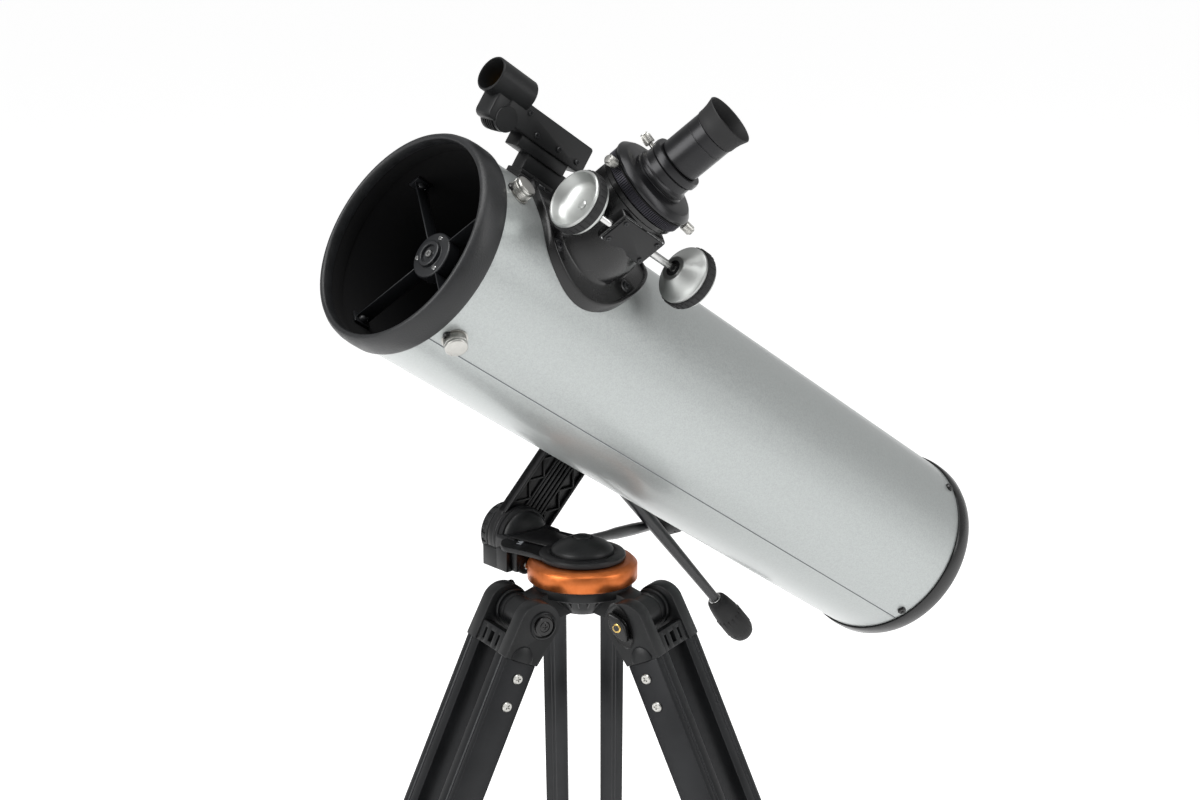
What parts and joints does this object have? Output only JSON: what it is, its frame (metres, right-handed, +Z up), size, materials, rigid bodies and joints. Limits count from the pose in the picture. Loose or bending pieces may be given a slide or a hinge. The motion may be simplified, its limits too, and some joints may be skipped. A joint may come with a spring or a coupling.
{
  "type": "reflector telescope on tripod",
  "caption": "Newtonian reflector telescope with side focuser and red-dot finder, on a single-arm alt-azimuth head and folding tripod with tray.",
  "frame": {"origin": "on the floor, on the azimuth axis, midway between the three feet", "axes": "+Z up; the tube points towards -X and rises to the front; the mount arm stands on the +Y side and the focuser and eyepiece face -Y"},
  "size_m": [0.7681, 0.6646, 1.1177],
  "materials": {
    "tripod_black": "black anodised extrusion, bright drawn edges",
    "moulded_black": "glass-filled nylon moulding, fine matte grain",
    "satin_black": "satin black ABS",
    "cast_black": "black powder-coated die casting",
    "orange_anodised": "orange anodised, turned",
    "tube_silver": "silver-grey metallic paint",
    "nickel": "nickel-plated steel",
    "steel_bolt": "zinc-plated bolt",
    "knob_aluminium": "turned satin aluminium with a rubber grip band",
    "rubber_black": "soft black rubber",
    "mirror": "aluminised glass",
    "eyepiece_black": "satin black anodised",
    "knurl_purple": "dark grey anodised straight knurl"
  },
  "bodies": {
    "tripod": {"tripod_hub": "moulded_black", "azimuth_ring": "orange_anodised", "pivot_bolts": "steel_bolt", "pivot_wing_nuts": "moulded_black"},
    "leg_1": {"leg_1_head": "moulded_black", "leg_1_rails": "tripod_black", "leg_1_screws": "nickel", "leg_1_clamp": "moulded_black"},
    "leg_1_lower": {"leg_1_extension": "tripod_black", "leg_1_foot": "rubber_black"},
    "leg_1_lock_knob": {"leg_1_lock": "moulded_black"},
    "brace_1": {"brace_1_strut": "tripod_black"},
    "leg_2": {"leg_2_head": "moulded_black", "leg_2_rails": "tripod_black", "leg_2_screws": "nickel", "leg_2_clamp": "moulded_black"},
    "leg_2_lower": {"leg_2_extension": "tripod_black", "leg_2_foot": "rubber_black"},
    "leg_2_lock_knob": {"leg_2_lock": "moulded_black"},
    "brace_2": {"brace_2_strut": "tripod_black"},
    "leg_3": {"leg_3_head": "moulded_black", "leg_3_rails": "tripod_black", "leg_3_screws": "nickel", "leg_3_clamp": "moulded_black"},
    "leg_3_lower": {"leg_3_extension": "tripod_black", "leg_3_foot": "rubber_black"},
    "leg_3_lock_knob": {"leg_3_lock": "moulded_black"},
    "brace_3": {"brace_3_strut": "tripod_black"},
    "tray": {"brace_hub": "moulded_black", "accessory_tray": "moulded_black"},
    "azimuth_head": {"azimuth_base": "cast_black", "top_cap": "moulded_black", "azimuth_worm_box": "moulded_black", "hinge_cap": "moulded_black"},
    "azimuth_control": {"azimuth_rod": "satin_black", "azimuth_grip": "moulded_black"},
    "arm": {"mount_arm": "cast_black"},
    "fold_lock_knob": {"fold_lock": "moulded_black"},
    "altitude_control": {"altitude_rod": "satin_black", "altitude_grip": "moulded_black"},
    "optical_tube": {"saddle": "cast_black", "dovetail_bar": "cast_black", "tube": "tube_silver", "front_ring": "satin_black", "rear_cell": "satin_black", "primary_mirror": "mirror", "spider": "cast_black", "secondary_mirror": "mirror", "tube_fasteners": "nickel", "focuser_body": "satin_black", "finder_bracket": "satin_black", "finder_body": "satin_black"},
    "saddle_knob_turn": {"saddle_knob": "moulded_black"},
    "focus_shaft": {"focus_knobs": "knob_aluminium"},
    "drawtube": {"drawtube": "satin_black", "knurled_ring": "knurl_purple", "eyepiece_holder": "satin_black", "clamp_screws": "nickel"},
    "eyepiece": {"eyepiece": "eyepiece_black", "eyecup": "rubber_black"}
  },
  "joints": [
    {"name": "leg_1_spread", "type": "hinge", "parent": "tripod", "child": "leg_1", "pos_m": [0.0341, 0.04122, 0.679], "axis": [-0.7705, 0.6374, 0], "range_deg": [0, 18]},
    {"name": "leg_1_extend", "type": "slide", "parent": "leg_1", "child": "leg_1_lower", "axis": [0.2664, 0.322, -0.9085], "range_m": [0, 0.275]},
    {"name": "leg_1_lock_turn", "type": "hinge", "parent": "leg_1", "child": "leg_1_lock_knob", "pos_m": [0.23031, 0.27839, 0.10071], "axis": [0.5791, 0.7, 0.4179], "range_deg": [-360, 0]},
    {"name": "brace_1_fold", "type": "hinge", "parent": "leg_1", "child": "brace_1", "pos_m": [0.12668, 0.15313, 0.32973], "axis": [-0.7705, 0.6374, 0], "range_deg": [0, 22.4]},
    {"name": "leg_2_spread", "type": "hinge", "parent": "tripod", "child": "leg_2", "pos_m": [-0.05275, 0.00892, 0.679], "axis": [-0.1668, -0.986, 0], "range_deg": [0, 18]},
    {"name": "leg_2_extend", "type": "slide", "parent": "leg_2", "child": "leg_2_lower", "axis": [-0.412, 0.0697, -0.9085], "range_m": [0, 0.275]},
    {"name": "leg_2_lock_turn", "type": "hinge", "parent": "leg_2", "child": "leg_2_lock_knob", "pos_m": [-0.35625, 0.06026, 0.10071], "axis": [-0.8958, 0.1515, 0.4179], "range_deg": [-360, 0]},
    {"name": "brace_2_fold", "type": "hinge", "parent": "leg_2", "child": "brace_2", "pos_m": [-0.19595, 0.03314, 0.32973], "axis": [-0.1668, -0.986, 0], "range_deg": [0, 22.4]},
    {"name": "leg_3_spread", "type": "hinge", "parent": "tripod", "child": "leg_3", "pos_m": [0.01865, -0.05015, 0.679], "axis": [0.9373, 0.3486, 0], "range_deg": [0, 18]},
    {"name": "leg_3_extend", "type": "slide", "parent": "leg_3", "child": "leg_3_lower", "axis": [0.1457, -0.3917, -0.9085], "range_m": [0, 0.275]},
    {"name": "leg_3_lock_turn", "type": "hinge", "parent": "leg_3", "child": "leg_3_lock_knob", "pos_m": [0.12594, -0.33865, 0.10071], "axis": [0.3167, -0.8515, 0.4179], "range_deg": [-360, 0]},
    {"name": "brace_3_fold", "type": "hinge", "parent": "leg_3", "child": "brace_3", "pos_m": [0.06927, -0.18627, 0.32973], "axis": [0.9373, 0.3486, 0], "range_deg": [0, 22.4]},
    {"name": "tray_rise", "type": "slide", "parent": "tripod", "child": "tray", "axis": [0, 0, 1], "range_m": [0, 0.0425]},
    {"name": "azimuth", "type": "hinge", "parent": "tripod", "child": "azimuth_head", "pos_m": [0, 0, 0.72], "axis": [0, 0, 1], "continuous": true},
    {"name": "azimuth_slow_motion", "type": "hinge", "parent": "azimuth_head", "child": "azimuth_control", "pos_m": [0.0743, 0.064, 0.7036], "axis": [0.889, 0.4217, -0.1786], "continuous": true},
    {"name": "arm_fold", "type": "hinge", "parent": "azimuth_head", "child": "arm", "pos_m": [0.0021, 0.09, 0.7145], "axis": [0, 1, 0], "range_deg": [-12, 0]},
    {"name": "fold_lock_turn", "type": "hinge", "parent": "arm", "child": "fold_lock_knob", "pos_m": [0.0021, 0.1, 0.7145], "axis": [0, 1, 0], "range_deg": [-360, 0]},
    {"name": "altitude_slow_motion", "type": "hinge", "parent": "arm", "child": "altitude_control", "pos_m": [0.0687, 0.091, 0.7885], "axis": [0.6601, 0, -0.7511], "continuous": true},
    {"name": "altitude", "type": "hinge", "parent": "arm", "child": "optical_tube", "pos_m": [0.10061, 0.09, 0.8158], "axis": [0, 1, 0], "range_deg": [-31, 25]},
    {"name": "saddle_clamp", "type": "hinge", "parent": "optical_tube", "child": "saddle_knob_turn", "pos_m": [0.12458, 0.0765, 0.85273], "axis": [0.5446, 0, 0.8387], "range_deg": [-360, 0]},
    {"name": "focus_turn", "type": "hinge", "parent": "optical_tube", "child": "focus_shaft", "pos_m": [-0.0397, -0.1087, 0.98956], "axis": [-0.8387, 0, 0.5446], "range_deg": [-400, 0]},
    {"name": "focus_travel", "type": "slide", "parent": "optical_tube", "child": "drawtube", "axis": [0.4203, -0.6361, 0.6471], "range_m": [0, 0.036]},
    {"name": "eyepiece_out", "type": "slide", "parent": "drawtube", "child": "eyepiece", "axis": [0.4203, -0.6361, 0.6471], "range_m": [0, 0.022]}
  ],
  "couplings": [
    {"joint": "brace_1_fold", "follows": "leg_1_spread", "ratio": 1.24},
    {"joint": "brace_2_fold", "follows": "leg_1_spread", "ratio": 1.24},
    {"joint": "leg_2_spread", "follows": "leg_1_spread", "ratio": 1},
    {"joint": "brace_3_fold", "follows": "leg_1_spread", "ratio": 1.24},
    {"joint": "leg_3_spread", "follows": "leg_1_spread", "ratio": 1},
    {"joint": "tray_rise", "follows": "leg_1_spread", "m_per_rad": 0.13423},
    {"joint": "focus_travel", "follows": "focus_turn", "m_per_rad": -0.005}
  ]
}
